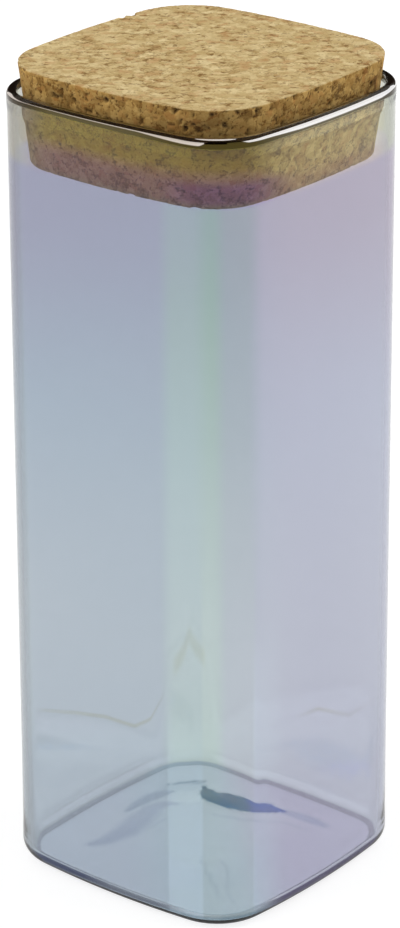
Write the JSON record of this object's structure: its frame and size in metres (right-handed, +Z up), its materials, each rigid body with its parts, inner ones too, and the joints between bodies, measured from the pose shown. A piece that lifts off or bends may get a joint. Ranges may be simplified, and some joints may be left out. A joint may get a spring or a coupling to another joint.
{
  "type": "glass food storage jar",
  "caption": "Tall square glass storage jar with rounded corners and an iridescent lustre, closed by a tapered cork stopper that lifts straight off.",
  "frame": {"origin": "middle of the base, on the plane that the jar stands on", "axes": "+Z up along the jar, out of its mouth; X and Y square to its faces"},
  "size_m": [0.1, 0.1, 0.272],
  "materials": {
    "iridescent_glass": "polished, with a thin blue, violet and green lustre",
    "agglomerated_cork": "sanded, bare"
  },
  "bodies": {
    "jar": {"glass_jar": "iridescent_glass"},
    "stopper": {"cork_stopper": "agglomerated_cork"}
  },
  "joints": [
    {"name": "stopper_lift", "type": "slide", "parent": "jar", "child": "stopper", "axis": [0, 0, 1], "range_m": [0, 0.08]}
  ]
}
